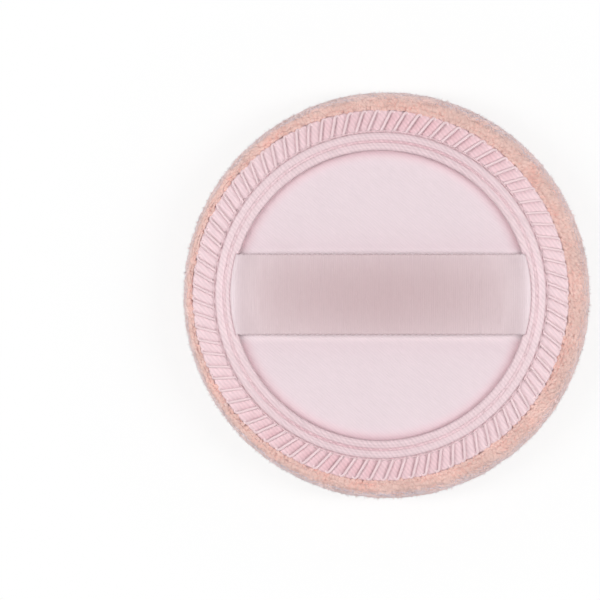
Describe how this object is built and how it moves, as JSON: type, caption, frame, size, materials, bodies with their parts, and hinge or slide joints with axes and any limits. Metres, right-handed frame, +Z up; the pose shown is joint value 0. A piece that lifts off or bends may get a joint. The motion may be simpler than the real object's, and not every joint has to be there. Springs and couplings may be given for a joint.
{
  "type": "powder puff",
  "caption": "Round cosmetic powder puff: short velour pile over foam, satin back with a corded, overlocked seam ring and a satin finger ribbon across it.",
  "frame": {"origin": "under the middle of the puff, on the surface that its pile face lies on", "axes": "+Z up through the puff, from the pile face to the ribbon; +X along the finger ribbon"},
  "size_m": [0.08, 0.08, 0.0169],
  "materials": {
    "velour": "matte",
    "foam": "matte",
    "interlining": "matte",
    "back_satin": "satin",
    "tape_satin": "satin",
    "cotton_cord": "matte",
    "sewing_thread": "satin",
    "ribbon_satin": "satin"
  },
  "bodies": {
    "puff_body": {"velour_cover": "velour", "foam_pad": "foam", "interlining_disc": "interlining", "satin_back": "back_satin", "binding_tape": "tape_satin", "outer_piping_cord": "cotton_cord", "inner_piping_cord": "cotton_cord", "overlock_thread": "sewing_thread", "lower_looper_thread": "sewing_thread", "needle_thread": "sewing_thread", "ditch_thread": "sewing_thread"},
    "ribbon_body": {"finger_ribbon": "ribbon_satin"}
  },
  "joints": [
    {"name": "ribbon_lift", "type": "slide", "parent": "puff_body", "child": "ribbon_body", "axis": [0, 0, 1], "range_m": [0, 0.004], "deforming": ["finger_ribbon"]}
  ]
}
